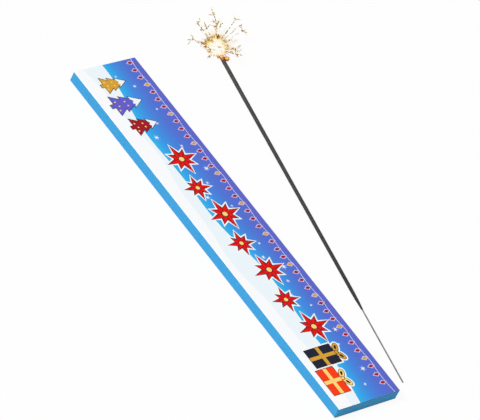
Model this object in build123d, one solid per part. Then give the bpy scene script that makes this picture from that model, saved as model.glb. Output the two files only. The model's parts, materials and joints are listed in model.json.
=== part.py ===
"""A sparkler set: a folding carton, the sparklers still inside it and one lit sparkler beside it.

Millimetres, +Z up. The origin is on the underside of the carton, at its middle. +Y runs along the
carton towards the sparklers' heads and +X towards the lit sparkler. The carton lies on its back panel.
"""
import os
from math import acos, asin, cos, pi, radians, sin, sqrt

from build123d import *

os.makedirs("parts", exist_ok=True)

# Sparkler: a steel wire dipped in a grey coat that burns.
sparkler_length = 280.0
wire_d = 0.9
wire_chamfer = 0.12
handle_length = 58.0
coat_d = 2.6
coat_low_d = 2.3
runout_length = 16.0
runout_film = 0.12
runout_belly = 0.12
head_cover = 0.8
head_round = 0.9
bond_gap = 0.01

# Carton: one blank of card, folded into a flat tube with a tuck lid at each end.
card = 0.45
carton_width = 49.0
carton_depth = 7.6
end_slack = 1.4
fold_gap = 0.1
crease_round = 0.3
glue_flap_height = 5.0
glue_flap_slant = 4.0
lid_side_gap = 0.2

# Tuck tabs and dust flaps at the ends of the carton.
tab_length = 5.5
tab_gap = 0.3
tab_side_gap = 1.0
tab_corner = 4.0
dust_length = 16.0
dust_headroom = 2.5
dust_slope = 1.2
dust_corner = 1.2

# Sparklers in the carton: a row of places, one of them empty.
places = 10
empty_index = 5
lying_gap = 0.03

# Lit sparkler, lying on the table beside the carton.
lit_wire_end = (36.5, -134.5)
lit_bearing = 11.5
burnt_length = 12.0
crust_d = 2.4
crust_waist_d = 1.9
crust_tip_d = 1.5
drop_d = 3.0
drop_reach = 3.2
drop_seat = 3.6
drop_sink = 0.35
drop_lean_angle = 45.0
drop_raise_angle = 12.0

# Fire and sparks at its head.
core_d = 11.6
core_back = 2.0
core_gap = 0.05
floor_gap = 0.1
spark_count = 72
streak_every = 3
spark_low_angle = 3.5
spark_high_angle = 76.0
spark_turn_angle = 137.508
rod_sides = 4
needle_root_d = 0.9
needle_sink = 0.2
needle_tip_d = 0.16
needle_short = 1.6
needle_long = 3.8
streak_root_d = 0.5
streak_tip_d = 0.24
streak_short = 11.0
streak_long = 23.5
star_every = 2
star_knot = 0.6
star_sink = 0.06
star_rays = 6
star_spread_angle = 62.0
star_ray_root_d = 0.22
star_ray_tip_d = 0.1
star_ray_length = 3.2
length_step = 0.618

# What follows from them.
wire_r = wire_d / 2
bore_r = wire_r + bond_gap
carton_length = sparkler_length + 2 * (end_slack + 2 * card + 2 * fold_gap)
half_length = carton_length / 2
half_width = carton_width / 2
lid_inner_y = half_length - card
wall_end_y = lid_inner_y - fold_gap
lid_low_z = card + fold_gap
lid_top_z = carton_depth - card - tab_gap
front_low_z = carton_depth - card
burn_front = sparkler_length - burnt_length
core_r = core_d / 2


def block(x, y, z):
    """A box from three (low, high) pairs."""
    size = [high - low for low, high in (x, y, z)]
    middle = [(high + low) / 2 for low, high in (x, y, z)]
    return Pos(*middle) * Box(*size)


def turned(outline):
    """Turn a closed outline in the local XZ plane once round the local Z axis."""
    return revolve(Face(Wire(outline)), Axis.Z)


def lying(point, bearing):
    """The place of a sparkler whose wire end is at the point and whose head lies along the bearing."""
    along = Vector(sin(radians(bearing)), cos(radians(bearing)), 0)
    across = Vector(cos(radians(bearing)), -sin(radians(bearing)), 0)
    return Plane(point, x_dir=across, z_dir=along).location


def sparkler_wire(length):
    """The steel core, cut square with a small chamfer at both ends."""
    rod = extrude(Circle(wire_r), length)
    return chamfer(rod.edges().filter_by(GeomType.CIRCLE), wire_chamfer)


def sparkler_coat(top, rounded):
    """The dipped coat: a long run-out on the wire, a slow swell towards the head, and its end."""
    wire_tip = top - head_cover if rounded else top
    film_r = wire_r + runout_film
    low_r = coat_low_d / 2
    high_r = coat_d / 2
    runout_top = handle_length + runout_length
    runout_middle = (film_r + low_r) / 2 + runout_belly
    start = (bore_r, 0, handle_length)
    knee = (runout_middle, 0, handle_length + runout_length / 2)
    outline = [
        Line(start, (film_r, 0, handle_length)),
        Line((film_r, 0, handle_length), knee),
        Line(knee, (low_r, 0, runout_top)),
    ]
    if rounded:
        shoulder = (high_r, 0, top - head_round)
        crown = (high_r - head_round, 0, top)
        lift = head_round * sqrt(0.5)
        between = (high_r - head_round + lift, 0, top - head_round + lift)
        outline += [
            Line((low_r, 0, runout_top), shoulder),
            ThreePointArc(shoulder, between, crown),
            Line(crown, (0, 0, top)),
            Line((0, 0, top), (0, 0, wire_tip)),
            Line((0, 0, wire_tip), (bore_r, 0, wire_tip)),
        ]
    else:
        outline += [
            Line((low_r, 0, runout_top), (high_r, 0, top)),
            Line((high_r, 0, top), (bore_r, 0, top)),
        ]
    return turned(outline + [Line((bore_r, 0, wire_tip), start)])


def burnt_crust():
    """The burnt end of the coat: swollen, drawn in at a waist and thin towards the tip of the wire."""
    start = (bore_r, 0, burn_front)
    foot = (coat_low_d / 2, 0, burn_front)
    swell = (crust_d / 2, 0, burn_front + burnt_length / 4)
    waist = (crust_waist_d / 2, 0, burn_front + burnt_length / 2)
    tip = (crust_tip_d / 2, 0, sparkler_length)
    return turned([
        Line(start, foot),
        Line(foot, swell),
        Line(swell, waist),
        Line(waist, tip),
        Line(tip, (bore_r, 0, sparkler_length)),
        Line((bore_r, 0, sparkler_length), start),
    ])


def crust_radius(height):
    """Outer radius of the crust at a height above the burning front, on its second stretch."""
    share = (height - burnt_length / 4) / (burnt_length / 4)
    return (crust_d + (crust_waist_d - crust_d) * share) / 2


def slag_drop():
    """A drop of slag: a round end of which two tangents run to a tip. The tip is at the origin."""
    round_r = drop_d / 2
    contact = acos(round_r / drop_reach)
    belly = (contact + pi) / 2
    touch_point = (round_r * sin(contact), 0, drop_reach - round_r * cos(contact))
    belly_point = (round_r * sin(belly), 0, drop_reach - round_r * cos(belly))
    foot = (0, 0, drop_reach + round_r)
    return turned([
        Line((0, 0, 0), touch_point),
        ThreePointArc(touch_point, belly_point, foot),
        Line(foot, (0, 0, 0)),
    ])


def panels():
    """The four walls of the tube and the strip that glues it shut."""
    width = (-half_width, half_width)
    length = (-half_length, half_length)
    wall_length = (-wall_end_y, wall_end_y)
    wall_height = (card, front_low_z)
    front = block(width, length, (front_low_z, carton_depth))
    back = block(width, length, (0, card))
    left = block((-half_width, card - half_width), wall_length, wall_height)
    right = block((half_width - card, half_width), wall_length, wall_height)
    front_creases = front.edges().filter_by(Axis.Y).group_by(Axis.Z)[-1]
    back_creases = back.edges().filter_by(Axis.Y).group_by(Axis.Z)[0]
    flap_low = front_low_z - glue_flap_height
    flap_end = wall_end_y - card - fold_gap
    flap_outline = Polyline(
        (flap_end, front_low_z),
        (flap_end - glue_flap_slant, flap_low),
        (glue_flap_slant - flap_end, flap_low),
        (-flap_end, front_low_z),
        close=True,
    )
    flap_plane = Plane((half_width - card, 0, 0), x_dir=(0, 1, 0), z_dir=(1, 0, 0))
    glue_flap = extrude(flap_plane * make_face(flap_outline), -card)
    return {
        "front_panel": fillet(front_creases, crease_round),
        "back_panel": fillet(back_creases, crease_round),
        "left_panel": left,
        "right_panel": right,
        "glue_flap": glue_flap,
    }


def lid():
    """The end panel of the far end, between the back and front panels."""
    reach = half_width - lid_side_gap
    return block((-reach, reach), (lid_inner_y, half_length), (lid_low_z, lid_top_z))


def tuck_tab():
    """The tab of the far lid, lying behind the front panel, with its free corners rounded."""
    reach = half_width - 2 * card - tab_side_gap
    tab = block((-reach, reach), (lid_inner_y - tab_length, lid_inner_y), (lid_top_z - card, lid_top_z))
    corners = tab.edges().filter_by(Axis.Z).group_by(Axis.Y)[0]
    return fillet(corners, tab_corner)


def dust_flap():
    """The far left dust flap: it narrows from its crease to its rounded tip, to let the tab pass."""
    crease = card - half_width
    tip = crease + dust_length
    low = lid_low_z
    high = front_low_z - dust_headroom
    outline = Polyline((crease, low), (tip, low), (tip, high - dust_slope), (crease, high), close=True)
    plane = Plane((0, wall_end_y, 0), x_dir=(1, 0, 0), z_dir=(0, -1, 0))
    flap = extrude(plane * make_face(outline), card)
    tip_corners = flap.edges().filter_by(Axis.Y).group_by(Axis.X)[-1]
    return fillet(tip_corners, dust_corner)


def far_and_near(shape):
    """A piece of the far end and its mirror image at the near end."""
    return {"far": shape, "near": mirror(shape, Plane.XZ)}


def closures():
    """Lids, tabs and dust flaps of both ends."""
    pieces = {}
    for end, shape in far_and_near(lid()).items():
        pieces[f"lid_{end}"] = shape
    for end, shape in far_and_near(tuck_tab()).items():
        pieces[f"tuck_tab_{end}"] = shape
    for end, shape in far_and_near(dust_flap()).items():
        pieces[f"dust_flap_{end}_left"] = shape
        pieces[f"dust_flap_{end}_right"] = mirror(shape, Plane.YZ)
    return pieces


def stored_sparklers():
    """The sparklers in their row, heads to the far end, on the inside of the back panel."""
    left = card - half_width
    right = half_width - 2 * card
    pitch = (right - left) / places
    height = card + lying_gap + coat_d / 2
    wire = sparkler_wire(sparkler_length - head_cover)
    coat = sparkler_coat(sparkler_length, rounded=True)
    pieces = {}
    number = 0
    for place in range(places):
        if place == empty_index:
            continue
        number += 1
        spot = lying((left + (place + 0.5) * pitch, -sparkler_length / 2, height), 0)
        pieces[f"sparkler_{number}_wire"] = spot * wire
        pieces[f"sparkler_{number}_coat"] = spot * coat
    return pieces


def spark_direction(number):
    """Spread the sparks evenly over the upper half of a ball, turning by the golden angle."""
    low = sin(radians(spark_low_angle))
    high = sin(radians(spark_high_angle))
    rise = low + (high - low) * (number + 0.5) / spark_count
    around = radians(number * spark_turn_angle)
    level = cos(asin(rise))
    return Vector(level * cos(around), level * sin(around), rise)


def spark_share(number):
    """An uneven share from 0 to 1, different for each spark."""
    return (number * length_step) % 1


def needle(origin, direction, start, end, root_d, tip_d):
    """A thin tapered rod along the direction, from start to end as measured from the origin."""
    root = Plane(origin + direction * start, z_dir=direction) * RegularPolygon(root_d / 2, rod_sides)
    tip = Plane(origin + direction * end, z_dir=direction) * RegularPolygon(tip_d / 2, rod_sides)
    return loft([root, tip])


def spark_star(centre, direction):
    """A star burst at the end of a streak: rays spread forward from a small knot."""
    plane = Plane(centre, z_dir=direction)
    knot = plane.location * Box(star_knot, star_knot, star_knot)
    root = star_knot / 2 - star_sink
    forward = cos(radians(star_spread_angle))
    aside = sin(radians(star_spread_angle))
    rays = []
    for ray in range(star_rays):
        around = radians(360 * ray / star_rays)
        side = plane.x_dir * cos(around) + plane.y_dir * sin(around)
        way = direction * forward + side * aside
        tip = centre + way * star_ray_length
        if tip.Z > floor_gap + star_ray_tip_d:
            rays.append(needle(centre, way, root, star_ray_length, star_ray_root_d, star_ray_tip_d))
    return knot + rays


def fire(centre, kept_clear):
    """The white-hot ball with its short needles, the long streaks and the stars at their ends."""
    ball = Pos(*centre) * Sphere(core_r)
    needles = []
    streaks = []
    stars = []
    for number in range(spark_count):
        direction = spark_direction(number)
        share = spark_share(number)
        if number % streak_every:
            end = core_r + needle_short + (needle_long - needle_short) * share
            needles.append(needle(centre, direction, core_r - needle_sink, end, needle_root_d, needle_tip_d))
            continue
        end = streak_short + (streak_long - streak_short) * share
        streaks.append(needle(centre, direction, core_r, end, streak_root_d, streak_tip_d))
        if len(streaks) % star_every == 0:
            stars.append(spark_star(centre + direction * (end + star_knot / 2), direction))
    below = block(
        (centre.X - core_d, centre.X + core_d),
        (centre.Y - core_d, centre.Y + core_d),
        (-core_d, floor_gap),
    )
    return {
        "fire_core": ball + needles - [below, *kept_clear],
        "spark_streaks": Compound(streaks),
        "spark_stars": Compound(stars),
    }


def lit_sparkler():
    """The sparkler that was taken out and lit. It lies on its coat."""
    height = coat_d / 2
    spot = lying((*lit_wire_end, height), lit_bearing)
    wire = spot * sparkler_wire(sparkler_length)
    coat = spot * sparkler_coat(burn_front, rounded=False)
    crust = spot * burnt_crust()
    seat = Pos(crust_radius(drop_seat) - drop_sink, 0, burn_front + drop_seat)
    drop = spot * Rot(0, 0, -drop_raise_angle) * seat * Rot(0, 180 - drop_lean_angle, 0) * slag_drop()
    burnt_end = spot * extrude(Circle(crust_d / 2 + core_gap), sparkler_length + core_gap)
    centre = (spot * Pos(0, 0, sparkler_length - core_back)).position
    pieces = {
        "lit_wire": wire,
        "lit_coat": coat,
        "burnt_crust": crust,
        "slag_bead": drop - crust,
    }
    return pieces | fire(centre, (burnt_end, drop))


for node, solid in (panels() | closures() | stored_sparklers() | lit_sparkler()).items():
    export_step(solid, f"parts/{node}.step")
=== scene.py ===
# %% [markdown]
# # A sparkler set
# A flat folding carton lies on a table, printed side up, and one of its sparklers lies beside it, lit.
# The CAD model holds every piece at its real size. This lesson gives the pieces their surfaces: the
# printed and folded card, the grainy coat on the wires, the burnt end and the fire.

# %% Load the frame
import json
import math

import bmesh
import bpy
import numpy as np
from mathutils import Matrix, Vector
from mathutils.geometry import delaunay_2d_cdt


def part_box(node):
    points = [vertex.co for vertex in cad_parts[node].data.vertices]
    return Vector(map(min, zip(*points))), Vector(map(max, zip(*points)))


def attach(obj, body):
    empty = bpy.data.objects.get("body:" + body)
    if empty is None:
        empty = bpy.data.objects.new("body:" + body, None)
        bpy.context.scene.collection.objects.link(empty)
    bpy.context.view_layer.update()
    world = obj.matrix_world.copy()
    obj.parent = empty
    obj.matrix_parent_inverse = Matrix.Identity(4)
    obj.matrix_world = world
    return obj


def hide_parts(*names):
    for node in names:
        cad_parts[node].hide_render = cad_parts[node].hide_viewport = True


MM = 0.001
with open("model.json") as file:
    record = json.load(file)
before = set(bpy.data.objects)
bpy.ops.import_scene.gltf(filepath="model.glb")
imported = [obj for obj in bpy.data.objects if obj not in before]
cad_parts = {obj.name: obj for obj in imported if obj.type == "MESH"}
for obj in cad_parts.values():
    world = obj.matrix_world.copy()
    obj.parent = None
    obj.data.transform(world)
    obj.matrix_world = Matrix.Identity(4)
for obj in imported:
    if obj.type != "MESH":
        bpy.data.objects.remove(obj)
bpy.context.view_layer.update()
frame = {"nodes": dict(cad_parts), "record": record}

# %% [markdown]
# ## Camera, floor and light
# The picture was taken from high on the left with a long lens, and the camera was rolled so that the
# carton runs down the frame. A camera is a place and three directions, so the view is written as the
# angles of those directions about one aim point.

# %% Camera
CAMERA_AIM = Vector((20.85, 16.46, 0.0)) * MM
CAMERA_AZIMUTH = math.radians(-55.42)
CAMERA_ELEVATION = math.radians(39.98)
CAMERA_ROLL = math.radians(-27.66)
CAMERA_DISTANCE = 2430.3 * MM
CAMERA_LENS = 300.0
CAMERA_SENSOR = 36.0
CAMERA_REACH = 20.0


def view_directions(azimuth, elevation, roll):
    """Right, up and backward directions of a camera that looks at its aim from an azimuth and elevation."""
    level = math.cos(elevation)
    back = Vector((math.sin(azimuth) * level, -math.cos(azimuth) * level, math.sin(elevation)))
    right = Vector((math.cos(azimuth), math.sin(azimuth), 0.0))
    up = back.cross(right)
    rolled_right = right * math.cos(roll) - up * math.sin(roll)
    rolled_up = right * math.sin(roll) + up * math.cos(roll)
    return rolled_right, rolled_up, back


def make_camera():
    """A long lens on the aim point, turned by the three angles."""
    data = bpy.data.cameras.new("camera")
    data.lens = CAMERA_LENS
    data.sensor_width = CAMERA_SENSOR
    data.sensor_fit = "HORIZONTAL"
    data.clip_end = CAMERA_REACH
    camera = bpy.data.objects.new("camera", data)
    right, up, back = view_directions(CAMERA_AZIMUTH, CAMERA_ELEVATION, CAMERA_ROLL)
    turn = Matrix((right, up, back)).transposed().to_4x4()
    place = CAMERA_AIM + back * CAMERA_DISTANCE
    camera.matrix_world = Matrix.Translation(place) @ turn
    bpy.context.scene.collection.objects.link(camera)
    bpy.context.scene.camera = camera
    print("camera in mm", [round(v / MM) for v in place])


make_camera()
bpy.context.scene.view_settings.view_transform = "Standard"

# %% [markdown]
# A material is a tree of nodes. One function adds a node and wires its inputs. A small class holds a
# material with its shader and has a plain word for each kind of node, so that every finish further down
# reads like a recipe.

# %% Colours and nodes
WHOLE = (0.0, 1.0)
# Most values of a noise lie in this span.
MOST = (0.3, 0.7)


def srgb(red, green, blue):
    """A screen colour of 0 to 255 as the linear colour that a shader wants, by the sRGB curve."""
    screen = np.array((red, green, blue)) / 255.0
    linear = np.where(screen <= 0.04045, screen / 12.92, ((screen + 0.055) / 1.055) ** 2.4)
    return (*linear.tolist(), 1.0)


def node(tree, kind, inputs=None, **settings):
    """Add a shader node. Its inputs are values or the outputs of other nodes, by name or number."""
    made = tree.nodes.new("ShaderNode" + kind)
    for name, value in settings.items():
        setattr(made, name, value)
    for socket, value in (inputs or {}).items():
        if isinstance(value, bpy.types.NodeSocket):
            tree.links.new(value, made.inputs[socket])
        else:
            made.inputs[socket].default_value = value
    return made


# %% A finish


class Finish:
    """A material with one Principled shader, the place of each point on the piece, and words for nodes."""

    def __init__(self, name, **sockets):
        """Start with the values that are the same all over the surface."""
        self.material = bpy.data.materials.new(name)
        self.material.use_nodes = True
        self.tree = self.material.node_tree
        self.sockets = self.tree.nodes["Principled BSDF"].inputs
        self.place = node(self.tree, "TexCoord").outputs["Object"]
        for socket, value in sockets.items():
            self.sockets[socket.replace("_", " ")].default_value = value

    def paint(self, **sockets):
        """Wire what changes over the surface to the shader."""
        for socket, output in sockets.items():
            self.tree.links.new(output, self.sockets[socket.replace("_", " ")])

    def bump(self, height, strength, depth):
        """Unevenness that only the light shows."""
        raised = node(self.tree, "Bump", {"Strength": strength, "Distance": depth, "Height": height})
        self.paint(Normal=raised.outputs[0])

    def noise(self, grain, place=None):
        """Soft noise from 0 to 1. A grain is its spots to a metre, its finer levels and their strength."""
        inputs = dict(zip(("Scale", "Detail", "Roughness"), grain))
        inputs["Vector"] = self.place if place is None else place
        return node(self.tree, "TexNoise", inputs).outputs[0]

    def axis(self, name):
        """One coordinate of the place on the piece."""
        return node(self.tree, "SeparateXYZ", {0: self.place}).outputs[name]

    def carried(self, name, output):
        """What the mesh carries at each point or corner."""
        return node(self.tree, "Attribute", attribute_name=name).outputs[output]

    def maths(self, operation, first, second=0.0):
        """One sum on two values."""
        return node(self.tree, "Math", {0: first, 1: second}, operation=operation).outputs[0]

    def ranged(self, value, span, to=WHOLE, kind="LINEAR"):
        """Map a value from one span to another and stop at the ends."""
        inputs = dict(enumerate((value, *span, *to)))
        return node(self.tree, "MapRange", inputs, interpolation_type=kind).outputs[0]

    def mixed(self, share, first, second):
        """Blend two colours by a share."""
        return node(self.tree, "Mix", {0: share, 6: first, 7: second}, data_type="RGBA").outputs[2]

    def ramp(self, value, stops):
        """A colour for each value. A stop is its place from 0 to 1 and its screen colour."""
        made = node(self.tree, "ValToRGB", {0: value})
        elements = made.color_ramp.elements
        while len(elements) < len(stops):
            elements.new(1.0)
        for element, (place, *screen) in zip(elements, stops):
            element.position = place
            element.color = srgb(*screen)
        return made.outputs[0]


# %% [markdown]
# The table is a plain white floor. The camera sees most of it as bright white, and the rest of its
# colour is real, so a faint shadow stays. The light is a soft sky with one large lamp from the left, so
# the top and the left side of the carton are bright and the near end is in shade.

# %% Floor and light
FLOOR_HALF = 4.0
FLOOR_DROP = 0.03 * MM
FLOOR_COLOUR = (0.9, 0.9, 0.9, 1.0)
FLOOR_WHITE_SHARE = 0.92
WHITE = (1.0, 1.0, 1.0, 1.0)
SKY_STRENGTH = 0.42
LAMP_STRENGTH = 2.5
LAMP_FROM = Vector((-0.68, 0.24, 0.70))
LAMP_SOFTNESS = math.radians(24.0)


def two_shaders(tree, output, lit, seen, share=1.0):
    """One shader for the rays that carry light, and a share of another for all rays that are seen."""
    path = node(tree, "LightPath").outputs
    sight = path["Is Camera Ray"]
    for ray in ("Is Glossy Ray", "Is Transmission Ray"):
        sight = node(tree, "Math", {0: sight, 1: path[ray]}, operation="MAXIMUM").outputs[0]
    part = node(tree, "Math", {0: sight, 1: share}, operation="MULTIPLY").outputs[0]
    both = node(tree, "MixShader", {0: part, 1: lit.outputs[0], 2: seen.outputs[0]})
    tree.links.new(both.outputs[0], tree.nodes[output].inputs["Surface"])


def make_floor():
    """One large square just under the object, white to the eye."""
    corners = np.array(((-1, -1, 0), (1, -1, 0), (1, 1, 0), (-1, 1, 0))) * FLOOR_HALF
    corners[:, 2] = -FLOOR_DROP
    mesh = bpy.data.meshes.new("floor")
    mesh.from_pydata(corners.tolist(), [], [(0, 1, 2, 3)])
    floor = bpy.data.objects.new("floor", mesh)
    bpy.context.scene.collection.objects.link(floor)
    material = bpy.data.materials.new("white_table")
    material.use_nodes = True
    tree = material.node_tree
    tree.nodes.remove(tree.nodes["Principled BSDF"])
    matt = node(tree, "BsdfDiffuse", {"Color": FLOOR_COLOUR})
    bright = node(tree, "Emission", {"Color": WHITE, "Strength": 1.0})
    two_shaders(tree, "Material Output", matt, bright, FLOOR_WHITE_SHARE)
    mesh.materials.append(material)


def make_light():
    """A soft white sky, seen as pure white, and a wide lamp from the upper left."""
    world = bpy.data.worlds.new("studio")
    world.use_nodes = True
    bpy.context.scene.world = world
    tree = world.node_tree
    tree.nodes.remove(tree.nodes["Background"])
    glow = node(tree, "Background", {"Color": WHITE, "Strength": SKY_STRENGTH})
    backdrop = node(tree, "Background", {"Color": WHITE, "Strength": 1.0})
    two_shaders(tree, "World Output", glow, backdrop)
    data = bpy.data.lights.new("lamp", "SUN")
    data.energy = LAMP_STRENGTH
    data.angle = LAMP_SOFTNESS
    lamp = bpy.data.objects.new("lamp", data)
    lamp.rotation_euler = LAMP_FROM.to_track_quat("Z", "Y").to_euler()
    bpy.context.scene.collection.objects.link(lamp)


make_floor()
make_light()

# %% [markdown]
# ## Meshes from arrays
# Each new piece is worked out with numpy, as one array of points and a few arrays of faces. These helpers
# put the arrays into a mesh, measure it and hang it on its CAD body. The enclosed volume comes out
# positive only if the faces point outwards and the skin is closed.

# %% Array helpers
TURN = 2 * math.pi
QUARTER = math.pi / 2
UP = np.array((0.0, 0.0, 1.0))


def unit(vectors):
    """Vectors made one long."""
    return vectors / np.linalg.norm(vectors, axis=-1, keepdims=True)


def even_turns(count):
    """Even angles round a whole turn."""
    return np.arange(count) * TURN / count


def circle(angles):
    """Points at angles on a circle of radius one: the cosine and the sine."""
    return np.stack((np.cos(angles), np.sin(angles)), axis=-1)


def grid_faces(rows, columns, close_rows=False):
    """Quads of a grid of points that closes round its columns, and round its rows if asked."""
    row = np.arange(rows if close_rows else rows - 1)[:, None]
    column = np.arange(columns)[None, :]
    next_row = (row + 1) % rows
    next_column = (column + 1) % columns
    quads = (
        row * columns + column,
        row * columns + next_column,
        next_row * columns + next_column,
        next_row * columns + column,
    )
    return np.stack(np.broadcast_arrays(*quads), axis=-1).reshape(-1, 4)


def enclosed(points, faces):
    """Volume inside a closed skin: a sixth of the sum of the box products of its fans of triangles."""
    total = 0.0
    for corner in range(1, faces.shape[1] - 1):
        first, second, third = (points[faces[:, c]] for c in (0, corner, corner + 1))
        total += np.einsum("ij,ij->", first, np.cross(second, third))
    return total / 6


# %% Meshes on CAD bodies
MERGE = 1e-5 * MM


def make_skin(name, points, groups, *materials):
    """A smooth mesh from points and groups of faces."""
    mesh = bpy.data.meshes.new(name)
    mesh.from_pydata(points.tolist(), [], [face for group in groups for face in group.tolist()])
    mesh.polygons.foreach_set("use_smooth", np.full(len(mesh.polygons), True))
    for material in materials:
        mesh.materials.append(material)
    volume = sum(enclosed(points, group) for group in groups) / MM ** 3
    print(f"{name}: {len(points)} points, {len(mesh.polygons)} faces, {volume:.2f} mm3")
    return mesh


def hang(mesh, body, slot, *nodes):
    """An object at the origin that rides on a body and stands in for CAD nodes."""
    piece = bpy.data.objects.new(mesh.name, mesh)
    bpy.context.scene.collection.objects.link(piece)
    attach(piece, body)
    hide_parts(*nodes)


def make_piece(name, points, groups, burning, material, body, slot, cad_node):
    """A closed piece in place of a CAD node, with points that fall together merged.

    A piece that glows also gets a number at each point, from 0 to 1, which its material reads: its heat,
    with painted highlight and shade on some pieces.
    """
    mesh = make_skin(name, points, groups, material)
    if burning is not None:
        level = mesh.attributes.new("burning", "FLOAT", "POINT")
        level.data.foreach_set("value", burning.astype(np.float32))
    work = bmesh.new()
    work.from_mesh(mesh)
    bmesh.ops.remove_doubles(work, verts=work.verts, dist=MERGE)
    work.to_mesh(mesh)
    work.free()
    hang(mesh, body, slot, cad_node)


# %% [markdown]
# ## The carton
# A folding carton is cut from one flat sheet of card that was printed first. So the sheet is made flat
# here too: its outline and the edges of every printed shape go into one triangulation, each triangle
# takes the ink on top of it, and only then a fold function bends the sheet round the carton. The prints
# keep sharp edges at any distance, with no image.

# %% The flat sheet
carton_low, carton_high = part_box("back_panel")
front_low, front_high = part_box("front_panel")
wall_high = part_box("left_panel")[1]
WIDTH = (carton_high.x - carton_low.x) / MM
LENGTH = (carton_high.y - carton_low.y) / MM
DEPTH = (front_high.z - carton_low.z) / MM
CARD = (front_high.z - front_low.z) / MM
NOTCH = (carton_high.y - wall_high.y) / MM
CREASE = 0.5
SEAM = 0.04
FRONT_BOW = 0.28
WALL_BOW = 0.1

# Round the carton, panels and creases follow one another by turns, from the glued seam.
RIGHT_WALL, LEFT_WALL, FRONT = 0, 4, 6
crease_run = CREASE * QUARTER
front_run = WIDTH - 2 * CREASE
wall_run = DEPTH - 2 * CREASE
panel_runs = (wall_run - SEAM, front_run, wall_run, front_run)
runs = np.array([run for panel in panel_runs for run in (panel, crease_run)])
run_ends = np.cumsum(runs)
run_starts = run_ends - runs
GIRTH = run_ends[-1]
front_start = run_starts[FRONT]
print(f"carton {WIDTH:.1f} x {LENGTH:.1f} x {DEPTH:.1f} mm, card {CARD:.2f}, girth {GIRTH:.1f} mm")

# %% [markdown]
# Seen from the near end, the sheet is a path that goes straight along each panel and turns by a quarter on
# a small arc at each crease. The start of every stretch is the sum of the moves before it.

# %% The fold
bows = np.zeros(len(runs))
bows[[RIGHT_WALL, LEFT_WALL, FRONT]] = WALL_BOW, WALL_BOW, FRONT_BOW
creased = np.arange(len(runs)) % 2 == 1
headings = -QUARTER * (1 + np.arange(len(runs)) // 2)
arcs = (circle(headings) - circle(headings + QUARTER)) * CREASE
moves = np.where(creased[:, None], arcs, circle(headings) * runs[:, None])
corners = (WIDTH / 2, DEPTH - CREASE - SEAM) + np.cumsum(moves, axis=0) - moves


def folded(flat, inward):
    """Bend points of the flat sheet round the carton, and give the directions that face out of it.

    The first number runs along the carton from its far end, the second round it: down the right side from
    the glued seam, under the back, up the left side and over the front. A panel keeps its heading, a crease
    turns it on an arc, and the point lies inward of the print by the amount given. The front and the walls
    swell a little: a squared sine across the panel times a sine along it.
    """
    along, around = flat.T
    run = np.clip(np.searchsorted(run_ends, around), 0, len(runs) - 1)
    done = np.clip(around - run_starts[run], 0, runs[run])
    share = done / runs[run]
    heading = headings[run]
    out = circle(heading + QUARTER - np.where(creased[run], share * QUARTER, 0))
    straight = circle(heading) * done[:, None]
    curved = (out - circle(heading + QUARTER)) * CREASE
    swell = bows[run] * np.sin(np.pi * share) ** 2 * np.sin(np.pi * np.clip(along / LENGTH, 0, 1))
    spot = corners[run] + np.where(creased[run][:, None], curved, straight)
    spot = spot + out * (swell - inward)[:, None]
    points = np.stack((spot[:, 0], LENGTH / 2 - along, spot[:, 1]), axis=1)
    return points * MM, np.stack((out[:, 0], np.zeros(len(out)), out[:, 1]), axis=1)


# %% [markdown]
# The print is a winter night of its own: a sky that goes from cyan over the snow to violet, two drifts,
# a row of red star bursts, firs at the far end, parcels at the near end, snow crystals and a garland.
# A motif is a closed outline of few points, worked out from a centre, radii and turns, in millimetres on
# the front: along it from the far end, and up from the left crease.

# %% Outlines of the motifs
OVAL_CORNERS = 20
MITRE = 0.35
motifs = []


def ink(colour, outline):
    """Print a closed outline over what is already there. Its corners are put in anticlockwise order."""
    outline = np.asarray(outline, float)
    following = np.roll(outline, -1, axis=0)
    turn = np.sum(outline[:, 0] * following[:, 1] - outline[:, 1] * following[:, 0])
    motifs.append((colour, outline if turn > 0 else outline[::-1]))


def star(centre, radii, turn=0.0):
    """Corners at the given radii, one after another, at even turns round a centre."""
    return np.asarray(centre) + circle(turn + even_turns(len(radii))) * np.asarray(radii)[:, None]


def disc(centre, radius, count=OVAL_CORNERS):
    """A round spot: a star with equal radii."""
    return star(centre, np.full(count, radius))


def oval(centre, halves, turn, count=OVAL_CORNERS):
    """An ellipse turned about its centre."""
    ring = circle(even_turns(count)) * halves
    return np.asarray(centre) + ring @ np.stack((circle(turn), circle(turn + QUARTER)))


def oblong(low, high):
    """A rectangle from its low and high corners."""
    return np.array(((low[0], low[1]), (high[0], low[1]), (high[0], high[1]), (low[0], high[1])))


def band(along, low, high):
    """The region between two heights or lines of heights along the front."""
    lower, upper = (np.stack(np.broadcast_arrays(along, line), axis=1) for line in (low, high))
    return np.concatenate((lower, upper[::-1]))


def grown(outline, by):
    """Move each side of an outline outwards, and each corner along the bisector to match."""
    side = unit(np.roll(outline, -1, axis=0) - outline)
    out = np.stack((side[:, 1], -side[:, 0]), axis=1)
    before = np.roll(out, 1, axis=0)
    bend = np.maximum(1 + np.einsum("ij,ij->i", out, before), MITRE)
    return outline + by * (out + before) / bend[:, None]


def bordered(shapes, borders):
    """Print grown copies of shapes to show from under them. A border is a colour and a width."""
    for colour, width in borders:
        for shape in shapes:
            ink(colour, grown(shape, width))


# %% Sky and snow
FRONT_LOW = CREASE - crease_run / 2
FRONT_HIGH = WIDTH - CREASE + crease_run / 2
DRIFT_POINTS = 58
DRIFT_LINE = 0.35
# A drift is its mean height and two waves, each with its height, its length and its phase.
FAR_DRIFT = (19.0, (3.4, 230.0, -150.0 / 230.0 * TURN), (1.3, 83.0, 0.6))
NEAR_DRIFT = (9.0, (3.0, 190.0, -20.0 / 190.0 * TURN), (1.0, 61.0, 0.0))


def drift_top(along, mean, *waves):
    """Top of a drift: its mean height and its sine waves, added up."""
    return mean + sum(high * np.sin(TURN * along / length + phase) for high, length, phase in waves)


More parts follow.
